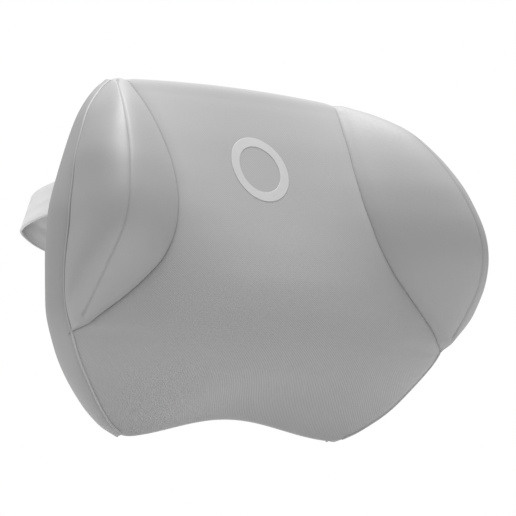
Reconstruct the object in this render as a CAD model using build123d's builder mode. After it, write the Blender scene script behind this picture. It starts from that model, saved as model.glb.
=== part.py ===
from build123d import *
from math import cos, degrees, atan2, hypot, pi
import os

# Lumbar support cushion: a moulded foam core in a zipped cover with two raised side wings,
# and a strap with a side-release buckle that loops behind it and round a chair's backrest.
#
# Frame: X to the right seen from the front, Y towards the chair, Z up. The origin is the
# middle of the flat back, so the front of the cushion is at negative Y. "Depth" below is the
# distance in front of the back face. Lengths are in millimetres.

# ---------------------------------------------------------------- driving dimensions
HALF_WIDTH = 166.5  # widest point of the outline, from the middle
TOP_Z = 128.0  # top edge, in the middle
LOBE_X = 98.0  # lowest point of the two lower lobes
LOBE_Z = -125.5
ARCH_RISE = 14.0  # how much higher the lower edge is in the middle
WING_DEPTH = 108.5  # highest point of the wings
JUNCTION_Z = -62.0  # where the wing's two seams meet

COVER = 2.0  # laminated cover fabric
EASE = 2.0  # soft room between the cover and the foam, and for the slider's inner plate
EDGE_DROP = 3.0  # how far the top and bottom curve in towards it

STRAP_WIDTH = 30.0
STRAP_THICK = 1.6
BUCKLE_Y = 12.0  # middle of the buckle, behind the back panel
BUCKLE_Z = 8.0
KEEPER_X = 66.0

ZIP_Z = -62.0  # height of the zipper's centre line
ZIP_HALF = 105.0  # half the length of the zipper's chain
TAPE_EDGE = 12.0  # outer edge of each tape, from the centre line
ZIP_PARK = 97.0  # where the slider sits when the zipper is closed
COIL_GAP = 0.6  # half the gap between the two coils
COIL_EDGE = 2.9
COIL_FRONT = -1.5
COIL_BACK = -0.1

MARK_RADIUS = 24.0  # plain ring printed on the front panel
MARK_BAND = 7.0
MARK_Z = 64.0

# ---------------------------------------------------------------- curves up the cushion
# Each is a list of (height, value) from top to bottom.
OUTLINE = [
    (128, 104), (118, 115.5), (97, 130), (80, 139.5), (60, 149), (40, 158), (25, 163.5), (0, HALF_WIDTH),
    (-15, HALF_WIDTH), (-45, 166), (-62, 161), (-75, 154), (-90, 143), (-105, 129), (-118, 112), (-125.5, 95),
]
SEAM_INSET = [
    (128, 1), (118, 0.5), (97, -3), (60, -3), (40, 1), (10, 2.5), (-20, -0.5), (JUNCTION_Z, 1.5), (-90, 4),
    (-118, 2), (-125.5, 1),
]
SEAM_DEPTH = [
    (128, 9), (118, 13), (104, 21), (80, 33), (50, 43), (20, 51), (-15, 52), (JUNCTION_Z, 52),
    (-81, 43), (-105, 32), (-118, 20), (-125.5, 12),
]
EDGE_INSET = [(128, 6), (60, 17), (37, 20.5), (0, 24), (JUNCTION_Z, 25), (-100, 22), (-125.5, 14)]
WING_SEAM_X = [
    (128, 91.5), (115, 89), (99, 85), (66, 80.5), (40, 81), (13, 87.5), (-9, 100), (-33, 125.5),
    (-50, 148), (JUNCTION_Z, 157.5),
]
WING_SEAM_DEPTH = [
    (128, 8), (122, 17), (105, 29), (85, 42), (56, 56.7), (29, 67), (6, 72), (-10, 73.5),
    (-30, 71), (-42, 67), (-53, 61), (JUNCTION_Z, 54.5),
]
RIDGE_X = [(128, 100), (118, 117), (102, 126), (80, 134), (45, 145), (16, 152), (-15, 158.5), (JUNCTION_Z, 160)]
RIDGE_DEPTH = [
    (128, 9), (118, 37), (102, 60), (80, 80), (56, 96), (32, 106), (16, WING_DEPTH), (3, 106.4),
    (-15, 97), (-32, 83), (-49, 67), (JUNCTION_Z, 55),
]
MIDDLE_DEPTH = [
    (128, 8), (122, 16), (105, 25), (85, 35), (56, 47), (29, 58), (6, 67), (-20, 75), (-42, 77),
    (-64, 73), (-82, 63), (-97, 47), (-110, 29), (-120, 14), (-125.5, 6),
]

# Rows of the skin, from top to bottom, and its columns, from the middle to the side.
ROWS = [128, 121, 108, 88, 66, 44, 20, -5, -28, -46, JUNCTION_Z, -82, -100, -114, -125.5]
CENTRE_COLUMNS = 3
WING_COLUMNS = 4
FLANK_COLUMNS = 2
GUSSET_COLUMNS = 2


def along(curve, height):
    """Value of a (height, value) curve, with its corners rounded."""
    def straight(h):
        if h >= curve[0][0]:
            return curve[0][1]
        for (h0, v0), (h1, v1) in zip(curve, curve[1:]):
            if h >= h1:
                return v0 + (v1 - v0) * (h0 - h) / (h0 - h1)
        return curve[-1][1]
    return (straight(height - 4) + 2 * straight(height) + straight(height + 4)) / 4


def level(x, height):
    """Z of a point in the row called height: rows follow the arched bottom and top edges."""
    low = max(0.0, (-60 - height) / (-60 - LOBE_Z))
    high = max(0.0, (height - 90) / (TOP_Z - 90))
    arch = ARCH_RISE * (1 + cos(pi * min(x, LOBE_X) / LOBE_X)) / 2
    return height + arch * low * low * (3 - 2 * low) - 4.5 * (x / 104) ** 2 * high * high


def half_row(height):
    """Points (x, depth) of one row, from the middle round to the back edge."""
    side_x = along(OUTLINE, height) - along(SEAM_INSET, height)
    side = along(SEAM_DEPTH, height)
    middle = along(MIDDLE_DEPTH, height)
    points = []
    if height > JUNCTION_Z:
        seam_x, seam = along(WING_SEAM_X, height), along(WING_SEAM_DEPTH, height)
        ridge_x, ridge = along(RIDGE_X, height), along(RIDGE_DEPTH, height)
        seam_x, ridge_x = min(seam_x, side_x - 1), min(ridge_x, side_x - 0.5)
        for i in range(CENTRE_COLUMNS):
            share = i / CENTRE_COLUMNS
            points.append((seam_x * share, middle + (seam - middle) * share ** 2))
        for i in range(WING_COLUMNS):
            share = i / WING_COLUMNS
            points.append((seam_x + (ridge_x - seam_x) * share,
                           seam + (ridge - seam) * (4 * share - share ** 4) / 3))
        for i in range(FLANK_COLUMNS):
            share = i / FLANK_COLUMNS
            points.append((ridge_x + (side_x - ridge_x) * share ** 0.7, ridge + (side - ridge) * share ** 1.2))
    else:
        relaxed = 1 - 0.45 * (JUNCTION_Z - height) / (JUNCTION_Z - LOBE_Z)
        total = WING_COLUMNS + FLANK_COLUMNS
        for i in range(CENTRE_COLUMNS + total):
            near = relaxed * i / CENTRE_COLUMNS
            share = near if i < CENTRE_COLUMNS else relaxed + (1 - relaxed) * (i - CENTRE_COLUMNS) / total
            points.append((side_x * share, side + (middle - side) * (1 - share ** 4)))
    return points, side_x, side


def gusset_points(height, side_x, side):
    """From the side seam, out to the widest point, and round to the back edge."""
    widest = along(OUTLINE, height)
    back_x = widest - along(EDGE_INSET, height) * side / 54
    points = [(side_x, side)]
    for i in range(1, GUSSET_COLUMNS):
        share = i / GUSSET_COLUMNS
        points.append((widest - (widest - back_x) * share ** 3, side * (1 - share)))
    return points + [(back_x, 0)]


def inner_depth(depth, inset):
    """Depth of the skin moved in by inset. It meets the inner face of the back only at its very edge."""
    def eased(reach):
        return (reach + hypot(reach, 2)) / 2
    return inset + eased(depth - 2 * inset) - eased(-2 * inset) if inset else depth


def skin(inset):
    """Grid of points of the cushion's skin, rows by columns, moved in for nested layers."""
    across, up = 1 - inset / HALF_WIDTH, 1 - inset / TOP_Z

    def row(height, flat=False):
        points, side_x, side = half_row(height)
        points += gusset_points(height, side_x, side)
        drop = EDGE_DROP if height > 0 else -EDGE_DROP
        right = []
        for x, depth in points:
            x = min(x, points[-1][0]) if flat else x
            corner = depth == 0 and height in (TOP_Z, LOBE_Z)
            z = level(x, height) - (drop if flat or corner else 0)
            right.append(Vector(x * across, -inner_depth(0 if flat else depth, inset), z * up))
        left = [Vector(-p.X, p.Y, p.Z) for p in reversed(right[1:])]
        return left + right
    return [row(TOP_Z, flat=True)] + [row(h) for h in ROWS] + [row(LOBE_Z, flat=True)]


COLUMNS = CENTRE_COLUMNS + WING_COLUMNS + FLANK_COLUMNS + GUSSET_COLUMNS
JUNCTION_ROW = 1 + ROWS.index(JUNCTION_Z)
ROW_COUNT = len(ROWS) + 1  # cells up and down
ALL_CELLS = {(r, c) for r in range(ROW_COUNT) for c in range(-COLUMNS, COLUMNS)}


def column_of(c):
    """Number of a cell's column counted out from the middle, the same on both sides."""
    return c if c >= 0 else -c - 1


GUSSET_CELLS = {(r, c) for r, c in ALL_CELLS if column_of(c) >= COLUMNS - GUSSET_COLUMNS}
WING_CELLS = {
    (r, c) for r, c in ALL_CELLS - GUSSET_CELLS
    if column_of(c) >= CENTRE_COLUMNS and r < JUNCTION_ROW
}
CENTRE_CELLS = ALL_CELLS - GUSSET_CELLS - WING_CELLS


def side_of(cells, side):
    return {(r, c) for r, c in cells if (c >= 0) == (side > 0)}


def flat_faces(corners):
    """One or two triangles for a four-cornered patch, without those of no area."""
    a, b, c, d = corners
    faces = []
    for three in ((a, b, c), (a, c, d)):
        if (three[1] - three[0]).cross(three[2] - three[0]).length > 1e-4:
            faces.append(Face(Wire.make_polygon(three, close=True)))
    return faces


def sheet(cells, outer_inset, inner_inset):
    """A piece of cloth with thickness: the chosen cells of the skin, between two insets."""
    outer, inner = skin(outer_inset), skin(inner_inset)
    faces = []
    for r, c in sorted(cells):
        i = c + COLUMNS
        ring = [(r, i), (r + 1, i), (r + 1, i + 1), (r, i + 1)]
        beside = [(r, c - 1), (r + 1, c), (r, c + 1), (r - 1, c)]
        faces += flat_faces([outer[p][q] for p, q in ring])
        faces += flat_faces([inner[p][q] for p, q in ring[:1] + ring[:0:-1]])
        for k in range(4):
            if beside[k] not in cells:
                (p0, q0), (p1, q1) = ring[k], ring[(k + 1) % 4]
                faces += flat_faces([outer[p0][q0], inner[p0][q0], inner[p1][q1], outer[p1][q1]])
    return Solid(Shell(faces))


def rim(inset):
    """Closed loop where the skin meets the back, as (x, z) points."""
    grid = skin(inset)
    loop = grid[0] + [row[-1] for row in grid[1:]] + grid[-1][-2::-1] + [row[0] for row in grid[-2:0:-1]]
    kept = [p for i, p in enumerate(loop) if (p - loop[i - 1]).length > 0.05]
    return [(p.X, p.Z) for p in kept]


def back_slab(inset, front, back):
    """A flat layer inside the back edge, from depth y=front to y=back."""
    with BuildPart() as slab:
        with BuildSketch(Plane.XZ.offset(-back)):
            with BuildLine():
                Polyline(rim(inset), close=True)
            make_face()
        extrude(amount=back - front)
    return slab.part


def finish(part, name):
    part.label = name
    export_step(part, f"parts/{name}.step")


# ---------------------------------------------------------------- cushion
def make_soft_parts():
    inside = COVER + EASE
    pieces = {"centre_panel": sheet(CENTRE_CELLS, 0, COVER)}
    for name, side in (("left", -1), ("right", 1)):
        pieces[f"wing_panel_{name}"] = sheet(side_of(WING_CELLS, side), 0, COVER)
        pieces[f"side_gusset_{name}"] = sheet(side_of(GUSSET_CELLS, side), 0, COVER)
    for name, solid in pieces.items():
        with BuildPart() as piece:
            add(solid)
        finish(piece.part, name)

    with BuildPart() as foam_core:
        grid = skin(inside)
        faces = []
        for r, c in sorted(ALL_CELLS):
            i = c + COLUMNS
            faces += flat_faces([grid[r][i], grid[r + 1][i], grid[r + 1][i + 1], grid[r][i + 1]])
        faces.append(Face(Wire.make_polygon([(x, -inside, z) for x, z in rim(inside)], close=True)))
        add(Solid(Shell(faces)))
    finish(foam_core.part, "foam_core")


def make_back_panels():
    for name, keep in (("back_panel_upper", Keep.TOP), ("back_panel_lower", Keep.BOTTOM)):
        with BuildPart() as panel:
            add(back_slab(COVER, -COVER, 0))
            split(bisect_by=Plane.XY.offset(ZIP_Z), keep=keep)
            with Locations((0, -COVER / 2, ZIP_Z)):
                Box(2 * ZIP_HALF + 16, 2 * COVER, 2 * TAPE_EDGE, mode=Mode.SUBTRACT)
        finish(panel.part, name)


def make_trim():
    with BuildPart() as care_label:
        with Locations((-70, 0.25, -97)):
            Box(34, 0.5, 22)
    finish(care_label.part, "care_label")

    with BuildPart() as front_mark:
        add(mark_ring())
    finish(front_mark.part, "front_mark")


def mark_ring():
    """Thin ring of printed film that follows the front panel."""
    steps = 48
    loops = []
    for radius, lift in ((MARK_RADIUS, 0.9), (MARK_RADIUS, 0.4), (MARK_RADIUS - MARK_BAND, 0.4),
                         (MARK_RADIUS - MARK_BAND, 0.9)):
        loop = []
        for k in range(steps):
            along_x = radius * cos(2 * pi * k / steps)
            z = MARK_Z + radius * cos(2 * pi * k / steps - pi / 2)
            middle, seam = along(MIDDLE_DEPTH, z), along(WING_SEAM_DEPTH, z)
            depth = middle + (seam - middle) * (along_x / along(WING_SEAM_X, z)) ** 2
            loop.append(Vector(along_x, -depth - lift, z))
        loops.append(loop)
    faces = []
    for a, b in zip(loops, loops[1:] + loops[:1]):
        for k in range(steps):
            n = (k + 1) % steps
            faces += flat_faces([a[k], a[n], b[n], b[k]])
    return Solid(Shell(faces))


# ---------------------------------------------------------------- zipper
def make_zipper():
    for name, side in (("upper", 1), ("lower", -1)):
        with BuildPart() as tape:
            with Locations((0, -0.8, ZIP_Z + side * (COIL_EDGE + TAPE_EDGE) / 2)):
                Box(2 * ZIP_HALF + 16, 0.6, TAPE_EDGE - COIL_EDGE)
        finish(tape.part, f"zipper_tape_{name}")

        with BuildPart() as coil:
            with Locations((0, (COIL_FRONT + COIL_BACK) / 2, ZIP_Z + side * (COIL_GAP + COIL_EDGE) / 2)):
                Box(2 * ZIP_HALF, COIL_BACK - COIL_FRONT, COIL_EDGE - COIL_GAP)
            fillet(coil.edges().filter_by(Axis.X), 0.5)
        finish(coil.part, f"zipper_coil_{name}")

    with BuildPart() as zipper_stops:
        for side in (-1, 1):
            with Locations((side * (ZIP_HALF + 1.1), (COIL_FRONT + COIL_BACK) / 2, ZIP_Z)):
                Box(2.2, 1.8, 2 * COIL_EDGE)
    finish(zipper_stops.part, "zipper_stops")
    make_slider()
    make_pull()


def make_slider():
    plate_y = 0.2  # inner face of the outer plate
    pivot_y = plate_y + 1.9
    with BuildPart() as slider:
        for y in (COIL_FRONT - 0.3 - 0.5, plate_y + 0.5):
            with BuildSketch(Plane.XZ.offset(-y - 0.5)):
                with Locations((ZIP_PARK, ZIP_Z)):
                    RectangleRounded(7.6, 9.0, 1.6)
            extrude(amount=1.0)
        with Locations((ZIP_PARK + 2.9, (COIL_FRONT + COIL_BACK) / 2, ZIP_Z)):
            Box(1.4, 2.6, 0.8)
        with BuildSketch(Plane.XY.offset(ZIP_Z - 1.2)):
            with Locations((ZIP_PARK, plate_y + 2.2)):
                Rectangle(6.8, 2.6)
            with Locations((ZIP_PARK, pivot_y)):
                Rectangle(4.0, 1.8, mode=Mode.SUBTRACT)
        extrude(amount=2.4)
    finish(slider.part, "zipper_slider")


def make_pull():
    pivot_y = 2.1
    length = 26.0
    with BuildPart() as pull:
        with BuildSketch(Plane.XZ.offset(-pivot_y - 0.6)):
            with Locations((ZIP_PARK - length / 2, ZIP_Z)):
                RectangleRounded(length, 6.4, 2.0)
            with Locations((ZIP_PARK - 1.8, ZIP_Z)):
                Rectangle(6.0, 3.4, mode=Mode.SUBTRACT)
            with Locations((ZIP_PARK + 0.6, ZIP_Z)):
                Rectangle(1.6, 8.0, mode=Mode.SUBTRACT)
            with Locations((ZIP_PARK - length + 4.5, ZIP_Z)):
                SlotOverall(5.0, 2.4, mode=Mode.SUBTRACT)
        extrude(amount=1.2)
        with Locations(Location((ZIP_PARK, pivot_y, ZIP_Z))):
            Cylinder(0.6, 6.4)
    finish(pull.part, "zipper_pull")


# ---------------------------------------------------------------- strap
# Middle of the strap from the buckle's bar out to the side seam, for the right side.
BAR_X = 30.0
LOOP_RADIUS = 2.5  # middle of the webbing where it turns round a buckle bar
LEG_END_X = 36.0
STRAIGHT_START = (46.0, BUCKLE_Y + 0.2)
STRAIGHT_END = (92.0, BUCKLE_Y + 8.5)
STRAIGHT_SLOPE = (STRAIGHT_END[1] - STRAIGHT_START[1]) / (STRAIGHT_END[0] - STRAIGHT_START[0])
SIDE_ROUTE = [
    (105, 25.5, 11.0), (120, 31.5, 16.0), (134, 35.5, 22.0), (144.5, 32.5, 27.5), (147.5, 24, 31),
    (146.4, 12, 34.5), (143.6, 0, 37),
]
SIDE_LEAN = (0.437, -0.236, -0.867)  # direction across the webbing at the side seam, downwards


def webbing(points, leans, side):
    """A flat band along the points, turned so that its width follows the leans."""
    planes = []
    for i, point in enumerate(points):
        before, after = points[max(i - 1, 0)], points[min(i + 1, len(points) - 1)]
        ahead = Vector(*after) - Vector(*before)
        lean = Vector(*leans[i])
        lean = (lean - ahead * (lean.dot(ahead) / ahead.dot(ahead))).normalized()
        flip = Vector(side, 1, 1)
        origin = Vector(point[0] * flip.X, point[1], point[2])
        planes.append(Plane(origin, x_dir=(lean.X * side, lean.Y, lean.Z), z_dir=(ahead.X * side, ahead.Y, ahead.Z)))
    with BuildPart() as band:
        for plane in planes:
            with BuildSketch(plane):
                Rectangle(STRAP_WIDTH, STRAP_THICK)
        loft(ruled=True)
    return band.part


def make_strap(side, name, tail_end):
    down = (0, 0, -1)
    straight = [(LEG_END_X, BUCKLE_Y - LOOP_RADIUS, BUCKLE_Z)]
    straight += [(x, y, BUCKLE_Z) for x, y in (STRAIGHT_START, STRAIGHT_END)]
    leans = [down] * 3
    for i in range(len(SIDE_ROUTE)):
        share = min(1.0, (i + 1) / 4)
        leans.append(tuple(d + (s - d) * share for d, s in zip(down, SIDE_LEAN)))
    lift = STRAP_THICK + 0.15
    tail_y = STRAIGHT_START[1] + lift + (tail_end - STRAIGHT_START[0]) * STRAIGHT_SLOPE
    tail = [(LEG_END_X, BUCKLE_Y + LOOP_RADIUS, BUCKLE_Z), (STRAIGHT_START[0], STRAIGHT_START[1] + lift, BUCKLE_Z),
            (tail_end, tail_y, BUCKLE_Z)]
    with BuildPart() as strap:
        add(webbing(straight + SIDE_ROUTE, leans, side))
        add(webbing(tail, [down] * 3, side))
        with BuildSketch(Plane.XY.offset(BUCKLE_Z - STRAP_WIDTH / 2)):
            with Locations((side * BAR_X, BUCKLE_Y)):
                Circle(LOOP_RADIUS + STRAP_THICK / 2)
                Circle(LOOP_RADIUS - STRAP_THICK / 2, mode=Mode.SUBTRACT)
            with Locations((side * (BAR_X + 10), BUCKLE_Y)):
                Rectangle(20, 20, mode=Mode.SUBTRACT)
            for y in (-LOOP_RADIUS, LOOP_RADIUS):
                with Locations((side * (BAR_X + LEG_END_X) / 2, BUCKLE_Y + y)):
                    Rectangle(LEG_END_X - BAR_X, STRAP_THICK)
        extrude(amount=STRAP_WIDTH)
    finish(strap.part, name)


def make_keeper():
    turn = degrees(atan2(STRAIGHT_SLOPE, 1))
    middle_y = STRAIGHT_START[1] + (KEEPER_X - STRAIGHT_START[0]) * STRAIGHT_SLOPE + (STRAP_THICK + 0.15) / 2
    plane = Plane(Location((KEEPER_X, middle_y, BUCKLE_Z), (0, 0, turn)))
    with BuildPart(plane) as keeper:
        Box(8.0, 6.6, STRAP_WIDTH + 3.4)
        Box(10.0, 4.2, STRAP_WIDTH + 0.8, mode=Mode.SUBTRACT)
        fillet(keeper.edges().filter_by(lambda e: e.length > 7.9 and e.length < 8.1), 0.6)
    finish(keeper.part, "strap_keeper")


# ---------------------------------------------------------------- buckle
BUCKLE_HALF = 20.0  # half the buckle's width, across the webbing
BAR_RADIUS = 1.5


def strap_frame(side, inner_x):
    """Rails and bar that the webbing turns round, added to the part being built."""
    outer_x = BAR_X + 3.0
    for across in (-1, 1):
        with Locations((side * (inner_x + outer_x) / 2, BUCKLE_Y, BUCKLE_Z + across * 17.6)):
            Box(outer_x - inner_x, 4.6, 3.8)
    with Locations((side * BAR_X, BUCKLE_Y, BUCKLE_Z)):
        Cylinder(BAR_RADIUS, 32.0)


def make_buckle():
    with BuildPart() as socket:
        with BuildSketch(Plane.XZ.offset(-BUCKLE_Y - 6)):
            with Locations((6.5, BUCKLE_Z)):
                RectangleRounded(36.0, 2 * BUCKLE_HALF, 5.0)
        extrude(amount=12)
        chamfer(socket.edges().filter_by(GeomType.LINE).group_by(Axis.Y)[-1], 0.8)
        with Locations((1.3, BUCKLE_Y, BUCKLE_Z)):
            Box(25.8, 6.8, 32.0, mode=Mode.SUBTRACT)
        with Locations((2.0, BUCKLE_Y, BUCKLE_Z)):
            Box(13.0, 6.0, 2 * BUCKLE_HALF + 2, mode=Mode.SUBTRACT)
        strap_frame(1, 23.0)
    finish(socket.part, "buckle_socket")

    with BuildPart() as plug:
        with BuildSketch(Plane.XZ.offset(-BUCKLE_Y - 4)):
            with Locations((-18.9, BUCKLE_Z)):
                RectangleRounded(13.4, 2 * BUCKLE_HALF - 1, 3.0)
        extrude(amount=8)
        for across in (-1, 1):
            with Locations((-4.0, BUCKLE_Y, BUCKLE_Z + across * 11)):
                Box(18.0, 4.0, 4.0)
            with BuildSketch(Plane.XZ.offset(-BUCKLE_Y - 2)):
                with BuildLine():
                    Polyline([(x, BUCKLE_Z + across * z) for x, z in
                              ((-3.0, 12.5), (-3.0, 18.6), (1.0, 18.6), (5.0, 12.5))], close=True)
                make_face()
            extrude(amount=4)
        with Locations((-6.0, BUCKLE_Y, BUCKLE_Z)):
            Box(14.0, 4.0, 6.0)
        strap_frame(-1, 22.0)
    finish(plug.part, "buckle_plug")


def main():
    os.makedirs("parts", exist_ok=True)
    make_soft_parts()
    make_back_panels()
    make_trim()
    make_zipper()
    make_strap(-1, "strap_left", 56.0)
    make_strap(1, "strap_right", 90.0)
    make_keeper()
    make_buckle()


main()
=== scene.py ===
from math import cos, pi, radians, sin

import bmesh
import bpy
import numpy as np
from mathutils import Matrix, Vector


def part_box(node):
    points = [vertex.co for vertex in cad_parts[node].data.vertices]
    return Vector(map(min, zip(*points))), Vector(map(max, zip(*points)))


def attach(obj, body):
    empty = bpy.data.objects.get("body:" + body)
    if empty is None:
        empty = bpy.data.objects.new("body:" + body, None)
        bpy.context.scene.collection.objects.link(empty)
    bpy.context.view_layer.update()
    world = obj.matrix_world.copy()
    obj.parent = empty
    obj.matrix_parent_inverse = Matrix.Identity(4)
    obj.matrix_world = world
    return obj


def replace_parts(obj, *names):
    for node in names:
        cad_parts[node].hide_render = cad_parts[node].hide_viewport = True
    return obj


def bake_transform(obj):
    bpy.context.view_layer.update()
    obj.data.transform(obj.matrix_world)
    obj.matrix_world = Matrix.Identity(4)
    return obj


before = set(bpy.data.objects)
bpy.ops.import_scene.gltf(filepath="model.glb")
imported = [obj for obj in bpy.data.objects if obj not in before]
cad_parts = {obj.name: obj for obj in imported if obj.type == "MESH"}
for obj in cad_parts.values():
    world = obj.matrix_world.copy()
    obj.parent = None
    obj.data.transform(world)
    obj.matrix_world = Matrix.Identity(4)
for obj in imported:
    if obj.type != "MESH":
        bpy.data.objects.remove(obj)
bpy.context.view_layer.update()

MM = 0.001

# ---------------------------------------------------------------- the cushion's dimensions, mm
# Same frame as the CAD: X right, Y towards the chair, Z up, origin on the flat back face.
HALF_WIDTH = 166.5
TOP_Z = 128.0
LOBE_X = 98.0
LOBE_Z = -125.5
ARCH_RISE = 14.0
JUNCTION_Z = -62.0
ARCH_START_Z = -60.0  # the rows bend to the lower arch below here
CROWN_START_Z = 90.0  # and to the crowned top edge above here
CROWN_DROP = 4.5  # how far the top edge has come down at its ends
TOP_HALF_WIDTH = 104.0
EDGE_DROP = 3.0
EDGE_FULL_DEPTH = 8.0  # depth from which an edge has its whole drop
EDGE_ROUND = 3.0  # how softly the skin turns over its top and bottom edges
SMOOTHING = 6.0  # how softly the curves below turn their corners
SEAM_OPENING = 9.0  # height over which the wing's seams part above the junction
COVER = 1.3  # thickness of the cloth pieces
WELD_DISTANCE = 0.00002  # metres
TUCK = 1.9  # how far the cloth is pulled in at a seam

OUTLINE = [
    (128, 104), (118, 115.5), (97, 130), (80, 139.5), (60, 149), (40, 158), (25, 163.5), (0, HALF_WIDTH),
    (-15, HALF_WIDTH), (-45, 166), (-62, 161), (-75, 154), (-90, 143), (-105, 129), (-118, 112), (-125.5, 95),
]
SEAM_INSET = [
    (128, 1), (118, 0.5), (97, -3), (60, -3), (40, 1), (10, 2.5), (-20, -0.5), (JUNCTION_Z, 1.5), (-90, 4),
    (-118, 2), (-125.5, 1),
]
SEAM_DEPTH = [
    (128, 9), (118, 13), (104, 21), (80, 33), (50, 43), (20, 51), (-15, 52), (JUNCTION_Z, 52),
    (-81, 43), (-105, 32), (-118, 20), (-125.5, 12),
]
EDGE_INSET = [(128, 6), (60, 17), (37, 20.5), (0, 24), (JUNCTION_Z, 25), (-100, 22), (-125.5, 14)]
WING_SEAM_X = [
    (128, 91.5), (115, 89), (99, 85), (66, 80.5), (40, 81), (13, 87.5), (-9, 100), (-33, 125.5),
    (-50, 148), (JUNCTION_Z, 157.5),
]
WING_SEAM_DEPTH = [
    (128, 8), (122, 17), (105, 29), (85, 42), (56, 56.7), (29, 67), (6, 72), (-10, 73.5),
    (-30, 71), (-42, 67), (-53, 61), (JUNCTION_Z, 54.5),
]
RIDGE_X = [
    (128, 100), (118, 117), (102, 126), (80, 134), (45, 145), (16, 152), (-15, 158.5), (JUNCTION_Z, 160),
]
RIDGE_DEPTH = [
    (128, 9), (118, 37), (102, 60), (80, 80), (56, 96), (32, 106), (16, 108.5), (3, 106.4),
    (-15, 97), (-32, 83), (-49, 67), (JUNCTION_Z, 55),
]
MIDDLE_DEPTH = [
    (128, 8), (122, 16), (105, 25), (85, 35), (56, 47), (29, 58), (6, 67), (-20, 75), (-42, 77),
    (-64, 73), (-82, 63), (-97, 47), (-110, 29), (-120, 14), (-125.5, 6),
]

UPPER_ROWS = 84
LOWER_ROWS = 48
EDGE_ROWS = 9
CENTRE_COLUMNS = 30
WING_COLUMNS = 26
FLANK_COLUMNS = 18
GUSSET_COLUMNS = 18


# ---------------------------------------------------------------- curves
def smooth_step(value):
    value = np.clip(value, 0, 1)
    return value * value * (3 - 2 * value)


def straight(curve, heights):
    """Straight runs between the curve's points, carried on past its ends."""
    h = np.array([p[0] for p in curve], float)[::-1]
    v = np.array([p[1] for p in curve], float)[::-1]
    inside = np.interp(heights, h, v)
    low = v[0] + (heights - h[0]) * (v[1] - v[0]) / (h[1] - h[0])
    high = v[-1] + (heights - h[-1]) * (v[-1] - v[-2]) / (h[-1] - h[-2])
    return np.where(heights < h[0], low, np.where(heights > h[-1], high, inside))


def along(curve, heights):
    """The curve with its corners rounded."""
    heights = np.asarray(heights, float)
    near_end = np.minimum(TOP_Z - heights, heights - LOBE_Z)
    spread = np.clip(near_end / 2, 0.01, SMOOTHING)
    total = np.zeros_like(heights)
    weights = 0.0
    steps_each_way, steps_per_spread = 6, 2.5
    for k in range(-steps_each_way, steps_each_way + 1):
        offset = k / steps_per_spread
        weight = np.exp(-offset ** 2 / 2)
        total = total + weight * straight(curve, heights + spread * offset)
        weights += weight
    return total / weights


def edge_height(heights):
    """Height to read the depth curves at, so that the skin turns over its edges in a round."""
    def turned(u):
        u = np.maximum(u, 0)
        return np.sqrt(u * u + 2 * EDGE_ROUND * u) - EDGE_ROUND * (1 - np.exp(-u / (2 * EDGE_ROUND)))
    top = TOP_Z - turned(TOP_Z - heights)
    low = LOBE_Z + turned(heights - LOBE_Z)
    return np.where(heights > 0, top, low)


def level(x, heights):
    """Real Z of a row at x: the rows follow the arch below and the crowned edge on top."""
    low = np.maximum(0.0, (ARCH_START_Z - heights) / (ARCH_START_Z - LOBE_Z))
    high = np.maximum(0.0, (heights - CROWN_START_Z) / (TOP_Z - CROWN_START_Z))
    arch = ARCH_RISE * (1 + np.cos(pi * np.minimum(np.abs(x), LOBE_X) / LOBE_X)) / 2
    crown = CROWN_DROP * (x / TOP_HALF_WIDTH) ** 2
    return heights + arch * low * low * (3 - 2 * low) - crown * high * high


def clustered(start, end, count):
    """Numbers from start to end, closer together near both."""
    return start + (end - start) * (1 - np.cos(np.linspace(0, pi, count + 1))) / 2


UPPER = clustered(TOP_Z, JUNCTION_Z, UPPER_ROWS)
HEIGHTS = np.concatenate([UPPER, clustered(JUNCTION_Z, LOBE_Z, LOWER_ROWS)[1:]])


def lines(heights):
    """Where the seams and the ridge of the right wing run, as (x, depth) for each height."""
    read = edge_height(heights)
    side_x = along(OUTLINE, heights) - along(SEAM_INSET, heights)
    side = along(SEAM_DEPTH, read)
    open_share = smooth_step((heights - JUNCTION_Z) / SEAM_OPENING)

    def gap(curve, softness):
        """Width between the curve and the outer seam, kept softly above zero."""
        plain = side_x - along(curve, heights)
        return open_share * (plain + np.sqrt(plain * plain + softness * softness)) / 2

    seam_gap = gap(WING_SEAM_X, 3.0)
    widest_share = 0.6  # the ridge keeps to this share of the wing's width
    ridge_gap = np.minimum(gap(RIDGE_X, 2.0), widest_share * seam_gap)
    seam = side + (along(WING_SEAM_DEPTH, read) - side) * open_share
    ridge = side + (along(RIDGE_DEPTH, read) - side) * open_share
    middle = along(MIDDLE_DEPTH, read)
    return {
        "side": (side_x, side), "seam": (side_x - seam_gap, seam),
        "ridge": (side_x - ridge_gap, ridge), "middle": middle,
    }


# ---------------------------------------------------------------- patches of skin
def with_edges(x, depth, heights, back_x):
    """Points of a patch, rows by columns, with the rows that turn over its top and bottom edge."""
    z = level(x, heights[:, None])
    rows = []
    steps = np.linspace(0, 1, EDGE_ROWS + 1)[1:]

    def turned(i, sign):
        drop = EDGE_DROP * np.minimum(1, depth[i] / EDGE_FULL_DEPTH) * sign
        found = []
        for t in steps:
            edge_x = x[i] + (np.sign(x[i]) * np.minimum(np.abs(x[i]), back_x[i]) - x[i]) * t
            found.append(np.stack([edge_x, -depth[i] * (1 - t), z[i] - drop * t * t], -1))
        return found

    if heights[0] > TOP_Z - 1:
        rows += turned(0, 1)[::-1]
    rows += list(np.stack([x, -depth, z], -1))
    if heights[-1] < LOBE_Z + 1:
        rows += turned(-1, -1)
    return np.array(rows)


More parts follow.
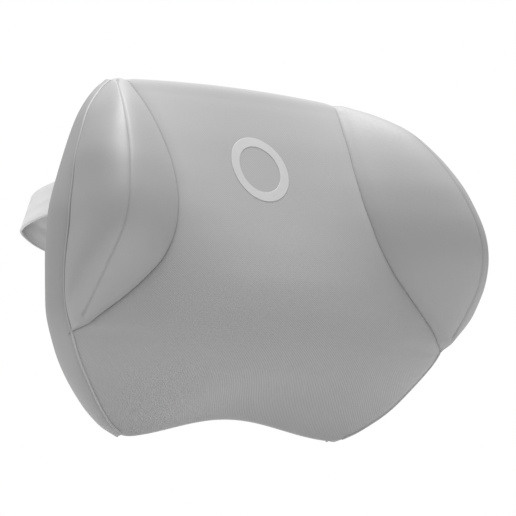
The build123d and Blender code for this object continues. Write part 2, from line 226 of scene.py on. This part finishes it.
def normals_of(points):
    """Unit normals of a grid, pointing out of the cushion."""
    across = np.gradient(points, axis=1)
    down = np.gradient(points, axis=0)
    n = np.cross(across, down)
    size = np.linalg.norm(n, axis=2, keepdims=True)
    n = n / np.maximum(size, 1e-9)
    thin = size[..., 0] < 1e-7
    for r in range(1, len(n)):
        n[r][thin[r]] = n[r - 1][thin[r]]
    cushion_middle = np.array([0, -30.0, 0])
    outward = points - cushion_middle
    facing = np.sign(np.sum((n * outward)[~thin]))
    return n * facing


def run_lengths(points, axis):
    """Length along the rows or columns of a grid, from its start to each point."""
    step = np.linalg.norm(np.diff(points, axis=axis), axis=2)
    start = np.zeros_like(step[:1] if axis == 0 else step[:, :1])
    return np.cumsum(np.concatenate([start, step], axis=axis), axis=axis)


def seam_pull(distance, depth=TUCK):
    """How far the cloth is drawn in at a distance from a seam: a sharp fold in a soft hollow."""
    fold_share, fold_width, hollow_width = 0.55, 0.9, 5.0
    fold = fold_share * np.exp(-distance / fold_width)
    hollow = (1 - fold_share) * np.exp(-(distance / hollow_width) ** 2)
    return depth * (fold + hollow)


def shared_at_seam(normals, points, distance):
    """Normals that turn straight forward at a seam, so that the cloth on both sides is drawn in together."""
    reach, full_depth = 4.0, 15.0
    weight = np.exp(-(distance / reach) ** 2) * np.clip(-points[..., 1] / full_depth, 0, 1)
    turned = normals * (1 - weight[..., None])
    turned[..., 1] -= weight
    return turned / np.maximum(np.linalg.norm(turned, axis=2, keepdims=True), 1e-9)


def mesh_piece(name, points, faces, body, material, smooth=True):
    """A mesh object from points in mm. A piece given no body is not attached to one here."""
    mesh = bpy.data.meshes.new(name)
    mesh.from_pydata([tuple(p) for p in np.asarray(points, float) * MM], [], faces)
    mesh.validate()
    mesh.update()
    obj = bpy.data.objects.new(name, mesh)
    bpy.context.scene.collection.objects.link(obj)
    for polygon in mesh.polygons:
        polygon.use_smooth = smooth
    mesh.materials.append(material)
    if body:
        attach(obj, body)
    return obj


def curve_piece(name, points, radius, resolution, material):
    """A thin round rod that follows the points and is fixed to the cushion."""
    curve = bpy.data.curves.new(name, "CURVE")
    curve.dimensions = "3D"
    curve.bevel_depth = radius * MM
    curve.bevel_resolution = resolution
    curve.use_fill_caps = True
    spline = curve.splines.new("POLY")
    spline.points.add(len(points) - 1)
    for target, point in zip(spline.points, points):
        target.co = (*(np.asarray(point) * MM), 1)
    curve.materials.append(material)
    obj = bpy.data.objects.new(name, curve)
    bpy.context.scene.collection.objects.link(obj)
    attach(obj, "cushion")
    return obj


def thick_grid(points, normals, thickness):
    """A closed sheet from a grid of points: outer face, inner face and the rims between."""
    rows, columns = points.shape[:2]
    outer = points.reshape(-1, 3)
    inner = (points - normals * thickness).reshape(-1, 3)
    count = rows * columns
    faces = []
    for r in range(rows - 1):
        for c in range(columns - 1):
            a, b = r * columns + c, r * columns + c + 1
            d, e = a + columns, b + columns
            faces.append((a, d, e, b))
            faces.append((a + count, b + count, e + count, d + count))
    ring = list(range(columns))
    ring += [r * columns + columns - 1 for r in range(1, rows)]
    ring += [(rows - 1) * columns + c for c in range(columns - 2, -1, -1)]
    ring += [r * columns for r in range(rows - 2, 0, -1)]
    for a, b in zip(ring, ring[1:] + ring[:1]):
        faces.append((a, b, b + count, a + count))
    return np.concatenate([outer, inner]), faces


def cloth_piece(name, points, normals, pull, material):
    """A panel of cover cloth: the skin patch drawn in by pull, with thickness."""
    moved = points - normals * pull[..., None]
    verts, faces = thick_grid(moved, normals, COVER)
    piece = mesh_piece(name, verts, faces, "cushion", material)
    weld(piece.data)
    return piece


def weld(mesh):
    """Joins points that meet, as where a patch narrows to nothing, and turns the faces outwards."""
    work = bmesh.new()
    work.from_mesh(mesh)
    bmesh.ops.remove_doubles(work, verts=work.verts, dist=WELD_DISTANCE)
    bmesh.ops.recalc_face_normals(work, faces=work.faces)
    work.to_mesh(mesh)
    work.free()


# ---------------------------------------------------------------- materials
# a colour Mix node's sockets: its factor, its two colours and its result
MIX_FACTOR, MIX_FIRST, MIX_SECOND, MIX_RESULT = 0, 6, 7, 2


def shader(name, tone, roughness, **sockets):
    """A grey material and its Principled node."""
    material = bpy.data.materials.new(name)
    material.use_nodes = True
    surface = material.node_tree.nodes["Principled BSDF"]
    surface.inputs["Base Color"].default_value = (tone, tone, tone, 1)
    surface.inputs["Roughness"].default_value = roughness
    for socket, value in sockets.items():
        surface.inputs[socket.replace("_", " ")].default_value = value
    return material, surface


def node(material, kind, **values):
    made = material.node_tree.nodes.new(kind)
    for key, value in values.items():
        if key in made.inputs:
            made.inputs[key].default_value = value
        else:
            setattr(made, key, value)
    return made


def join(material, start, end):
    material.node_tree.links.new(start, end)


def place(material, rotation=(0, 0, 0), attribute=None):
    """Coordinates in metres, turned, from the object or from a named attribute."""
    if attribute:
        source = node(material, "ShaderNodeAttribute", attribute_name=attribute).outputs["Vector"]
    else:
        source = node(material, "ShaderNodeTexCoord").outputs["Object"]
    turned = node(material, "ShaderNodeMapping")
    turned.inputs["Rotation"].default_value = rotation
    join(material, source, turned.inputs["Vector"])
    return turned.outputs["Vector"]


def bands(material, pitch, where, direction="X"):
    """Rounded parallel ribs, one for each pitch in metres, from 0 to 1."""
    wave = node(
        material, "ShaderNodeTexWave", wave_type="BANDS", bands_direction=direction, wave_profile="SIN")
    radians_per_unit = 20  # of the wave node's own scale
    wave.inputs["Scale"].default_value = 2 * pi / (radians_per_unit * pitch)
    wave.inputs["Distortion"].default_value = 0
    join(material, where, wave.inputs["Vector"])
    return wave.outputs["Fac"]


def noise(material, size, where, detail=3.0):
    made = node(material, "ShaderNodeTexNoise")
    made.inputs["Scale"].default_value = 1 / size
    made.inputs["Detail"].default_value = detail
    join(material, where, made.inputs["Vector"])
    return made.outputs["Fac"]


def calculate(material, operation, first, second):
    made = node(material, "ShaderNodeMath", operation=operation)
    for socket, value in zip(made.inputs, (first, second)):
        if isinstance(value, (int, float)):
            socket.default_value = value
        else:
            join(material, value, socket)
    return made.outputs[0]


def tint(material, surface, factor, dark, light):
    """Colour from dark to light by a factor."""
    mix = node(material, "ShaderNodeMix", data_type="RGBA")
    mix.inputs[MIX_FIRST].default_value = (*dark, 1)
    mix.inputs[MIX_SECOND].default_value = (*light, 1)
    join(material, factor, mix.inputs[MIX_FACTOR])
    join(material, mix.outputs[MIX_RESULT], surface.inputs["Base Color"])


def relief(material, surface, height, depth, roughness=None):
    """Bump from a height of 0 to 1, with its depth in metres, and roughness that follows it."""
    bump = node(material, "ShaderNodeBump")
    bump.inputs["Distance"].default_value = depth
    join(material, height, bump.inputs["Height"])
    join(material, bump.outputs["Normal"], surface.inputs["Normal"])
    if roughness:
        span = node(material, "ShaderNodeMapRange")
        span.inputs["To Min"].default_value = roughness[0]
        span.inputs["To Max"].default_value = roughness[1]
        join(material, height, span.inputs["Value"])
        join(material, span.outputs[0], surface.inputs["Roughness"])


def weighted(material, first, first_weight, second, second_weight):
    """Sum of two values, each with its weight."""
    return calculate(
        material, "ADD", calculate(material, "MULTIPLY", first, first_weight),
        calculate(material, "MULTIPLY", second, second_weight))


def shades(tone, spread):
    """A darker and a lighter grey around a tone."""
    return [tone * (1 - spread)] * 3, [tone * (1 + spread)] * 3


def twill_material():
    """Fine twill: ribs on the slant, crossed by the weft."""
    tone = 0.22
    material, surface = shader("twill_grey", tone, 0.85, Sheen_Weight=0.12, Sheen_Roughness=0.5)
    slanted = place(material, rotation=(0, radians(52), 0))
    level_place = place(material)
    rib = bands(material, 0.0013, slanted)
    weft = bands(material, 0.0016, level_place, "Z")
    softened = calculate(material, "ADD", calculate(material, "MULTIPLY", weft, 0.4), 0.6)
    weave = calculate(material, "MULTIPLY", rib, softened)
    mottle = noise(material, 0.03, level_place)
    tint(material, surface, weighted(material, weave, 0.45, mottle, 0.5), *shades(tone, 0.04))
    relief(material, surface, weave, 0.00006, (0.92, 0.8))
    return material


def leather_material(name, tone):
    """Smooth matt leatherette with a fine pebbled grain."""
    material, surface = shader(name, tone, 0.6, Specular_IOR_Level=0.42)
    where = place(material)
    cells = node(material, "ShaderNodeTexVoronoi", feature="SMOOTH_F1")
    grain_size = 0.0011
    cells.inputs["Scale"].default_value = 1 / grain_size
    join(material, where, cells.inputs["Vector"])
    fine = noise(material, 0.0006, where, 2.0)
    grain = weighted(material, cells.outputs["Distance"], 0.7, fine, 0.3)
    cloud = noise(material, 0.045, where)
    tint(material, surface, weighted(material, cloud, 0.8, grain, 0.2), *shades(tone, 0.035))
    relief(material, surface, grain, 0.00006, (0.52, 0.68))
    return material


def backing_material():
    """Coarser cloth with raised grip dots."""
    tone, weave_pitch, dot_pitch, dot_edge = 0.215, 0.0012, 0.006, 0.62
    material, surface = shader("backing_grey", tone, 0.9, Sheen_Weight=0.1)
    where = place(material)
    weave = calculate(
        material, "MULTIPLY", bands(material, weave_pitch, where), bands(material, weave_pitch, where, "Z"))
    diagonal = place(material, rotation=(0, radians(45), 0))
    spots = calculate(
        material, "MULTIPLY", bands(material, dot_pitch, diagonal), bands(material, dot_pitch, diagonal, "Z"))
    dots = calculate(material, "GREATER_THAN", spots, dot_edge)
    height = weighted(material, weave, 0.4, dots, 0.6)
    tint(material, surface, height, *shades(tone, 0.22))
    relief(material, surface, height, 0.0003, (0.95, 0.6))
    return material


def webbing_material(name, tone, attribute):
    """Herringbone webbing: slanted ribs that turn back at the middle of each stripe."""
    material, surface = shader(name, tone, 0.7, Sheen_Weight=0.2, Sheen_Roughness=0.4)
    where = place(material, attribute=attribute)
    parts = node(material, "ShaderNodeSeparateXYZ")
    join(material, where, parts.inputs[0])
    across, run = parts.outputs["X"], parts.outputs["Y"]
    stripe = 0.005
    fold = calculate(material, "PINGPONG", across, stripe)
    slant = calculate(material, "ADD", run, calculate(material, "MULTIPLY", fold, 0.8))
    combined = node(material, "ShaderNodeCombineXYZ")
    join(material, slant, combined.inputs["X"])
    rib = bands(material, 0.0011, combined.outputs[0])
    tint(material, surface, rib, *shades(tone, 0.07))
    relief(material, surface, rib, 0.00022, (0.78, 0.6))
    return material


def plain_ribs_material(name, tone, pitch, direction, depth):
    """Plain ribbed tape or ribbon with a slight fleck."""
    material, surface = shader(name, tone, 0.75, Sheen_Weight=0.1)
    where = place(material)
    rib = bands(material, pitch, where, direction)
    speck = noise(material, 0.0009, where)
    mixed = weighted(material, rib, 0.7, speck, 0.3)
    tint(material, surface, mixed, *shades(tone, 0.1))
    relief(material, surface, mixed, depth, (0.8, 0.65))
    return material


def moulded_material(name, tone, roughness):
    """Moulded plastic or painted metal: a faint orange-peel texture and cloudy gloss."""
    material, surface = shader(name, tone, roughness)
    where = place(material)
    spark = noise(material, 0.0004, where, 2.0)
    cloud = noise(material, 0.008, where)
    tint(material, surface, cloud, *shades(tone, 0.06))
    relief(material, surface, spark, 0.00003, (roughness - 0.08, roughness + 0.1))
    return material


TWILL = twill_material()
WING = leather_material("wing_leatherette", 0.215)
GUSSET = leather_material("gusset_leatherette", 0.205)
WELT = leather_material("welt_leatherette", 0.25)
BACKING = backing_material()
WEB = webbing_material("herringbone_webbing", 0.46, "web_place")
BAND = webbing_material("keeper_elastic", 0.5, "web_place")
TAPE = plain_ribs_material("zipper_tape_weave", 0.24, 0.0009, "X", 0.0001)
COIL = moulded_material("nylon_coil", 0.26, 0.42)
METAL = moulded_material("painted_zinc", 0.3, 0.35)
ACETAL = moulded_material("acetal", 0.33, 0.5)
FILM = moulded_material("printed_film", 0.31, 0.55)
SATIN = plain_ribs_material("satin_label", 0.72, 0.0005, "Z", 0.00004)


# ---------------------------------------------------------------- cushion
def front_bend(heights):
    """Power with which the front falls from its middle to its seams: flatter in the middle below."""
    return 2 + 2 * smooth_step((-20 - heights) / 60)


def centre_panel():
    """The woven front, swollen in the middle, down to the two lower lobes."""
    found = lines(HEIGHTS)
    above = HEIGHTS > JUNCTION_Z
    edge_x = np.where(above, found["seam"][0], found["side"][0])
    edge = np.where(above, found["seam"][1], found["side"][1])
    half = clustered(0, 1, CENTRE_COLUMNS)
    share = np.concatenate([-half[:0:-1], half])
    x = edge_x[:, None] * share[None]
    fall = np.abs(share[None]) ** front_bend(HEIGHTS)[:, None]
    depth = found["middle"][:, None] + (edge - found["middle"])[:, None] * fall
    points = with_edges(x, depth, HEIGHTS, back_edge(HEIGHTS))
    normals = normals_of(points)
    run = run_lengths(points, 1)
    rise = run_lengths(points, 0)
    side_distance = np.minimum(run, run[:, -1:] - run)
    upper_rows = len(UPPER) + EDGE_ROWS
    normals[:upper_rows] = shared_at_seam(normals, points, side_distance)[:upper_rows]
    end_distance = np.minimum(rise, rise[-1:] - rise)
    pull = np.maximum(seam_pull(side_distance), seam_pull(end_distance))
    return cloth_piece("front_cover", points, normals, pull, TWILL)


def back_edge(heights):
    """Half the width of the back: it lies further in where the side is deep."""
    full_side_depth = 54
    side_share = along(SEAM_DEPTH, edge_height(heights)) / full_side_depth
    return along(OUTLINE, heights) - along(EDGE_INSET, heights) * side_share


def wing_panel(side):
    """A raised wing: up from the seam to the ridge, and down its flank to the outer seam."""
    found = lines(UPPER)
    (seam_x, seam), (ridge_x, ridge), (side_x, side_depth) = found["seam"], found["ridge"], found["side"]
    inner = clustered(0, 1, WING_COLUMNS)[:-1]
    flank_swell = 8.0
    swell = flank_swell * smooth_step((118 - UPPER) / 60) * smooth_step((UPPER - JUNCTION_Z) / 30)
    outer = clustered(0, 1, FLANK_COLUMNS)
    x = np.concatenate([
        seam_x[:, None] + (ridge_x - seam_x)[:, None] * inner[None],
        ridge_x[:, None] + (side_x - ridge_x)[:, None] * outer[None] ** 0.7
        + swell[:, None] * np.sin(pi * outer[None]),
    ], axis=1)
    depth = np.concatenate([
        seam[:, None] + (ridge - seam)[:, None] * (4 * inner - inner ** 4)[None] / 3,
        ridge[:, None] + (side_depth - ridge)[:, None] * outer[None] ** 1.7,
    ], axis=1)
    points = with_edges(x, depth, UPPER, back_edge(UPPER))
    run = run_lengths(points, 1)
    rise = run_lengths(points, 0)
    normals = shared_at_seam(normals_of(points), points, run)
    pull = np.maximum(seam_pull(run), seam_pull(run[:, -1:] - run))
    pull = np.maximum(pull, seam_pull(rise))
    ridge_run = run[:, WING_COLUMNS:WING_COLUMNS + 1]
    heights = np.concatenate([np.full(EDGE_ROWS, TOP_Z), UPPER])[:, None]
    # the dart: a stitched groove along the ridge with a small pucker at each end
    ends = np.exp(-((heights - 124) / 3.0) ** 2) + np.exp(-((heights + 49) / 2.5) ** 2)
    span = smooth_step((heights + 51) / 3) * smooth_step((TOP_Z - heights) / 3)
    dart = np.abs(run - ridge_run)
    groove = 0.9 * np.exp(-(dart / 0.7) ** 2) + 0.45 * np.exp(-(dart / 5) ** 2)
    pucker = 1.4 * ends * np.exp(-(dart / 1.5) ** 2)
    pull = np.maximum(pull, span * groove + pucker)
    # the two seams run together at the junction, where there is no width to draw in
    pull = np.minimum(pull, TUCK)
    points, normals, pull = mirrored(points, normals, pull, side)
    name = "wing_cover_left" if side < 0 else "wing_cover_right"
    return cloth_piece(name, points, normals, pull, WING)


def mirrored(points, normals, pull, side):
    """The right-hand grid as it is, or turned over for the left."""
    if side > 0:
        return points, normals, pull
    flip = np.array([-1.0, 1, 1])
    return points[:, ::-1] * flip, normals[:, ::-1] * flip, pull[:, ::-1]


def settled_ends(normals):
    """Normals that turn evenly to up and down over the narrow ends, where the columns run together."""
    settled = normals.copy()
    reach = EDGE_ROWS + 5
    most = 0.8  # share of the vertical at the very end
    for rows, inner, z_sign in ((range(reach), reach, 1.0), (range(-1, -reach - 1, -1), -reach - 1, -1.0)):
        for order, row in enumerate(rows):
            share = most * (1 - order / reach)
            settled[row] = normals[inner] * (1 - share) + np.array([0, 0, z_sign]) * share
    return settled / np.linalg.norm(settled, axis=2, keepdims=True)


def gusset(side):
    """The side strip from the outer seam round to the flat back, with the welt on its seam."""
    side_x, side_depth = lines(HEIGHTS)["side"]
    widest = along(OUTLINE, HEIGHTS)
    back_x = back_edge(HEIGHTS)
    share = clustered(0, 1, GUSSET_COLUMNS)[None]
    x = widest[:, None] - (widest - back_x)[:, None] * share ** 3
    x = x - (widest - side_x)[:, None] * (1 - share) ** 6
    depth = side_depth[:, None] * (1 - share)
    points = with_edges(x, depth, HEIGHTS, back_x)
    normals = settled_ends(normals_of(points))
    run = run_lengths(points, 1)
    rise = run_lengths(points, 0)
    pull = np.maximum(seam_pull(run), seam_pull(run[:, -1:] - run))
    pull = np.maximum(pull, seam_pull(np.minimum(rise, rise[-1:] - rise)))
    welt_stand = 0.7  # how far the welt's centre stands above the seam
    seam_line = (points[:, 0] - normals[:, 0] * (seam_pull(0.0) - welt_stand)) * np.array([side, 1, 1])
    points, normals, pull = mirrored(points, normals, pull, side)
    hand = "left" if side < 0 else "right"
    piece = cloth_piece(f"side_cover_{hand}", points, normals, pull, GUSSET)
    left_off = EDGE_ROWS + 4  # rows at either end that have no welt
    curve_piece(f"seam_welt_{hand}", seam_line[left_off:-left_off:2], 0.85, 3, WELT)
    return piece


ZIP_HALF = 105.0
ZIP_Z = -62.0
FLAP = 5.2  # half the gap between the folded edges beside the zipper
BACK_COLUMNS = 40
BACK_TUCK = 1.5  # the thinner backing is drawn in less at its seams


def back_panel(name, heights, sign):
    """The flat back, from the zipper up or down to its edge."""
    inset = 0.6  # keeps the cloth inside the side covers' edges
    back_x = back_edge(heights) - inset
    half = clustered(0, 1, BACK_COLUMNS)
    share = np.concatenate([-half[:0:-1], half])
    x = back_x[:, None] * share[None]
    away_from_side = np.clip((back_x[:, None] - np.abs(x)) / 6, 0, 1)
    near_top = smooth_step((heights[:, None] - CROWN_START_Z) / (TOP_Z - CROWN_START_Z))
    near_low = smooth_step((-85 - heights[:, None]) / (-85 - LOBE_Z))
    drop = (EDGE_DROP + inset) * (near_top - near_low) * away_from_side
    opening = FLAP * (1 - smooth_step((np.abs(x) - ZIP_HALF - 2) / 7))
    shift = sign * opening * np.clip(1 - np.abs(heights[:, None] - ZIP_Z) / 25, 0, 1)
    z = level(x, heights[:, None]) - drop + shift
    behind_plane = -0.15  # keeps the cloth off the face that the chair touches
    points = np.stack([x, np.full_like(x, behind_plane), z], -1)
    normals = np.zeros_like(points)
    normals[..., 1] = 1
    run = run_lengths(points, 1)
    rise = run_lengths(points, 0)
    edge = np.minimum(run, run[:, -1:] - run)
    outer_end = rise if sign > 0 else rise[-1:] - rise
    zip_end = rise[-1:] - rise if sign > 0 else rise
    pull = np.maximum(seam_pull(edge, BACK_TUCK), seam_pull(outer_end, BACK_TUCK))
    stitch_line, stitch_width, stitch_depth = 3.2, 0.7, 0.35
    stitched = stitch_depth * np.exp(-((zip_end - stitch_line) / stitch_width) ** 2)
    pull = np.maximum(pull, stitched)
    verts, faces = thick_grid(points - normals * pull[..., None], normals, COVER * 0.6)
    piece = mesh_piece(name, verts, faces, "cushion", BACKING)
    return piece


def front_ring():
    """Plain printed ring that follows the front panel."""
    radius, band, middle_z, steps = 24.0, 7.0, 64.0, 96
    edge_lift, film_lift = 0.05, 0.3
    loops = []
    for r, lift in ((0, edge_lift), (0.02, film_lift), (0.98, film_lift), (1, edge_lift)):
        loop = []
        for k in range(steps):
            angle = 2 * pi * k / steps
            size = radius - band * r
            x, z = size * cos(angle), middle_z + size * sin(angle)
            loop.append((x, -front_depth(x, z) - lift, z))
        loops.append(loop)
    verts = [p for loop in loops for p in loop]
    faces = []
    for i in range(len(loops)):
        j = (i + 1) % len(loops)
        for k in range(steps):
            n = (k + 1) % steps
            faces.append((i * steps + k, i * steps + n, j * steps + n, j * steps + k))
    piece = mesh_piece("front_ring", verts, faces, "cushion", FILM, smooth=False)
    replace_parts(piece, "front_mark")


def front_depth(x, z):
    """Depth of the front panel above the height where its lower edge begins to arch."""
    found = lines(np.array([float(z)]))
    share = abs(x) / found["seam"][0][0]
    fall = share ** front_bend(z)
    return found["middle"][0] + (found["seam"][1][0] - found["middle"][0]) * fall


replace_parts(centre_panel(), "centre_panel")
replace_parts(wing_panel(-1), "wing_panel_left")
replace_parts(wing_panel(1), "wing_panel_right")
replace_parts(gusset(-1), "side_gusset_left", "foam_core")
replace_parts(gusset(1), "side_gusset_right")
UPPER_BACK = np.concatenate([clustered(TOP_Z, 40, 26)[:-1], clustered(40, ZIP_Z, 26)])
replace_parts(back_panel("back_cover_upper", UPPER_BACK, 1), "back_panel_upper")
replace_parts(back_panel("back_cover_lower", clustered(ZIP_Z, LOBE_Z, 36), -1), "back_panel_lower")
front_ring()


# ---------------------------------------------------------------- zipper
def zipper_coil(name, side):
    """One nylon coil: flattened turns that lie beside the zipper's centre line."""
    pitch, turn_points, wire_radius = 1.5, 8, 0.28
    half_height, half_width, off_centre, coil_y = 0.42, 0.85, 1.75, -0.8
    start_x = -ZIP_HALF + 1
    turns = int(2 * (ZIP_HALF - 1) / pitch)
    path = []
    for i in range(turns * turn_points + 1):
        angle = 2 * pi * i / turn_points
        x = start_x + pitch * i / turn_points + (0 if side > 0 else pitch / 2)
        y = coil_y + half_height * sin(angle)
        z = ZIP_Z + side * (off_centre + half_width * cos(angle))
        path.append((x, y, z))
    return curve_piece(name, path, wire_radius, 1, COIL)


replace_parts(zipper_coil("coil_turns_upper", 1), "zipper_coil_upper")
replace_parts(zipper_coil("coil_turns_lower", -1), "zipper_coil_lower")


# ---------------------------------------------------------------- strap
BUCKLE_Y = 12.0
BUCKLE_Z = 8.0
BAR_X = 30.0
LOOP_RADIUS = 2.5
STRAP_WIDTH = 30.0
STRAP_THICK = 1.5
STRAIGHT_START = (46.0, 12.2)
STRAIGHT_END = (92.0, 20.5)
STRAIGHT_SLOPE = (STRAIGHT_END[1] - STRAIGHT_START[1]) / (STRAIGHT_END[0] - STRAIGHT_START[0])
SIDE_ROUTE = [
    (105, 25.5, 11.0), (120, 31.5, 16.0), (134, 35.5, 22.0), (144.5, 32.5, 27.5), (147.5, 24, 31),
    (146.4, 12, 34.5), (143.6, 0, 37),
]
SIDE_LEAN = (0.437, -0.236, -0.867)


def smooth_path(points, each):
    """Catmull-Rom curve through the points, with each steps between neighbours."""
    p = np.array(points, float)
    p = np.concatenate([[2 * p[0] - p[1]], p, [2 * p[-1] - p[-2]]])
    found = []
    for i in range(1, len(p) - 2):
        for k in range(each):
            t = k / each
            found.append(0.5 * (
                2 * p[i] + (p[i + 1] - p[i - 1]) * t
                + (2 * p[i - 1] - 5 * p[i] + 4 * p[i + 1] - p[i + 2]) * t ** 2
                + (3 * p[i] - p[i - 1] - 3 * p[i + 1] + p[i + 2]) * t ** 3))
    found.append(p[-2])
    return np.array(found)


def ribbon(name, path, leans, width, thick, body, material, closed=False):
    """Webbing with rounded, slightly thicker edges. It follows the path, and leans point across its width."""
    count = len(path)
    if closed:
        ahead = np.roll(path, -1, axis=0) - np.roll(path, 1, axis=0)
    else:
        ahead = np.gradient(path, axis=0)
    ahead = ahead / np.linalg.norm(ahead, axis=1, keepdims=True)
    across = leans - ahead * np.sum(leans * ahead, axis=1, keepdims=True)
    across = across / np.linalg.norm(across, axis=1, keepdims=True)
    out = np.cross(across, ahead)
    half, edge = width / 2, thick / 2
    places = [-half, -half + 0.25, -half + 0.8, -half + 1.6]
    places += list(np.linspace(-half + 3, half - 3, 7))
    places += [half - 1.6, half - 0.8, half - 0.25, half]
    bulge = [0.35, 0.85, 1.08, 1.02] + [0.96] * 7 + [1.02, 1.08, 0.85, 0.35]
    profile = list(zip(places, [b * edge for b in bulge]))
    profile += [(p, -b) for p, b in reversed(profile)]
    step = np.linalg.norm(np.diff(path, axis=0), axis=1)
    run = np.concatenate([[0], np.cumsum(step)])
    verts, where = [], []
    for i in range(count):
        for p, b in profile:
            verts.append(path[i] + across[i] * p + out[i] * b)
            where.append((p + half, run[i], 0))
    size = len(profile)
    faces = []
    for i in range(count if closed else count - 1):
        j = (i + 1) % count
        for k in range(size):
            n = (k + 1) % size
            faces.append((i * size + k, i * size + n, j * size + n, j * size + k))
    if not closed:
        faces.append(tuple(range(size - 1, -1, -1)))
        faces.append(tuple((count - 1) * size + k for k in range(size)))
    piece = mesh_piece(name, verts, faces, body, material)
    for polygon in piece.data.polygons:
        polygon.use_smooth = len(polygon.vertices) == 4
    # the weave runs with the webbing: place across it and length along it, in metres
    web_place = piece.data.attributes.new("web_place", "FLOAT_VECTOR", "POINT")
    web_place.data.foreach_set("vector", (np.array(where) * MM).astype(np.float32).ravel())
    return piece


def strap_route(side, tail_end):
    """Path and lean of a strap half, from the cushion's seam round the buckle's bar to its tail."""
    down = (0.0, 0.0, -1.0)
    inside_seam = (141.6, -3.0, 37.5)
    outer = [inside_seam] + SIDE_ROUTE[::-1]
    leans = [SIDE_LEAN]
    lean_steps = 4  # points of the side route over which the webbing leans over
    for i in range(len(SIDE_ROUTE) - 1, -1, -1):
        share = min(1.0, (i + 1) / lean_steps)
        leans.append(tuple(d + (s - d) * share for d, s in zip(down, SIDE_LEAN)))

    def on_straight(x, lift=0.0):
        return x, STRAIGHT_START[1] + lift + (x - STRAIGHT_START[0]) * STRAIGHT_SLOPE, BUCKLE_Z

    points = outer + [on_straight(x) for x in (STRAIGHT_END[0], 76.0, 60.0, 48.0)]
    points += [(40.0, BUCKLE_Y - 1.7, BUCKLE_Z), (35.0, BUCKLE_Y - LOOP_RADIUS, BUCKLE_Z)]
    half_turn_steps = 6
    for k in range(half_turn_steps + 1):
        angle = pi / 2 + pi * k / half_turn_steps
        points.append((BAR_X + LOOP_RADIUS * cos(angle), BUCKLE_Y - LOOP_RADIUS * sin(angle), BUCKLE_Z))
    lift = STRAP_THICK + 0.25
    points.append((35.0, BUCKLE_Y + LOOP_RADIUS, BUCKLE_Z))
    points.append((40.0, BUCKLE_Y + 2.2, BUCKLE_Z))
    tail_start = STRAIGHT_START[0]
    points += [on_straight(x, lift) for x in (tail_start, (tail_start + tail_end) / 2, tail_end)]
    leans += [down] * (len(points) - len(leans))
    flip = np.array([side, 1.0, 1.0])
    return smooth_path(points, 8) * flip, smooth_path(leans, 8) * flip


left_path, left_lean = strap_route(-1, 56.0)
right_path, right_lean = strap_route(1, 90.0)
left_strap = ribbon("webbing_left", left_path, left_lean, STRAP_WIDTH, STRAP_THICK, None, WEB)
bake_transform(left_strap)
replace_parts(left_strap, "strap_left")
right_strap = ribbon(
    "webbing_right", right_path, right_lean, STRAP_WIDTH, STRAP_THICK, "cushion", WEB)
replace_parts(right_strap, "strap_right")


def keeper_loop():
    """Elastic loop round the doubled strap."""
    low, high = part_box("strap_keeper")
    centre = (np.array(low) + np.array(high)) / 2 / MM
    turn = np.arctan2(STRAIGHT_SLOPE, 1)
    thin = np.array([-sin(turn), cos(turn), 0.0])
    half_y, half_z, round_size = 2.75, 16.1, 1.6
    quarter_steps = 6
    path = []
    corners = ((1, 1, 0), (-1, 1, 1), (-1, -1, 2), (1, -1, 3))
    for y_sign, z_sign, quarter in corners:
        for k in range(quarter_steps + 1):
            angle = pi / 2 * (quarter + k / quarter_steps)
            y = y_sign * (half_y - round_size) + round_size * cos(angle)
            z = z_sign * (half_z - round_size) + round_size * sin(angle)
            path.append(centre + thin * y + np.array([0, 0, z]))
    path = np.array(path)
    leans = np.tile(np.array([cos(turn), sin(turn), 0.0]), (len(path), 1))
    piece = ribbon("keeper_loop", path, leans, 8.0, 1.1, "strap_keeper", BAND, closed=True)
    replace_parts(piece, "strap_keeper")


keeper_loop()


# ---------------------------------------------------------------- carried-over CAD nodes
def finish_node(name, material):
    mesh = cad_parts[name].data
    mesh.materials.clear()
    mesh.materials.append(material)


for node_name, chosen in (
    ("zipper_tape_upper", TAPE), ("zipper_tape_lower", TAPE), ("zipper_stops", METAL),
    ("zipper_slider", METAL), ("zipper_pull", METAL), ("buckle_socket", ACETAL),
    ("buckle_plug", ACETAL), ("care_label", SATIN),
):
    finish_node(node_name, chosen)


# ---------------------------------------------------------------- floor, light and camera
FLOOR_Z = -0.2
CAMERA_PLACE = (-0.996, -1.413, -0.183)
VIEW_LINE = Vector((0.584, 0.804, 0.108))
LENS = 168.9
SENSOR_WIDTH = 36


def stage_floor():
    size = 6.0
    mesh = bpy.data.meshes.new("floor")
    corners = [(-size, -size), (size, -size), (size, size), (-size, size)]
    mesh.from_pydata([(x, y, FLOOR_Z) for x, y in corners], [], [(0, 1, 2, 3)])
    mesh.materials.append(shader("pale_floor", 0.8, 0.9)[0])
    obj = bpy.data.objects.new("floor", mesh)
    bpy.context.scene.collection.objects.link(obj)


def soft_light(name, place_at, size, power, target=(0, -0.04, 0)):
    light = bpy.data.lights.new(name, "AREA")
    light.shape = "DISK"
    light.size = size
    light.energy = power
    obj = bpy.data.objects.new(name, light)
    obj.location = place_at
    aim = Vector(target) - Vector(place_at)
    obj.rotation_euler = aim.to_track_quat("-Z", "Y").to_euler()
    bpy.context.scene.collection.objects.link(obj)


def white_world(strength):
    world = bpy.data.worlds.new("studio")
    world.use_nodes = True
    background = world.node_tree.nodes["Background"]
    background.inputs["Color"].default_value = (1, 1, 1, 1)
    background.inputs["Strength"].default_value = strength
    bpy.context.scene.world = world


bpy.context.scene.view_settings.view_transform = "Standard"
stage_floor()
white_world(1.0)
soft_light("key_above", (0.08, 0.02, 1.3), 0.9, 33)

camera = bpy.data.cameras.new("camera")
camera.lens = LENS
camera.sensor_width = SENSOR_WIDTH
camera_object = bpy.data.objects.new("camera", camera)
camera_object.location = CAMERA_PLACE
camera_object.rotation_euler = VIEW_LINE.to_track_quat("-Z", "Y").to_euler()
bpy.context.scene.collection.objects.link(camera_object)
bpy.context.scene.camera = camera_object
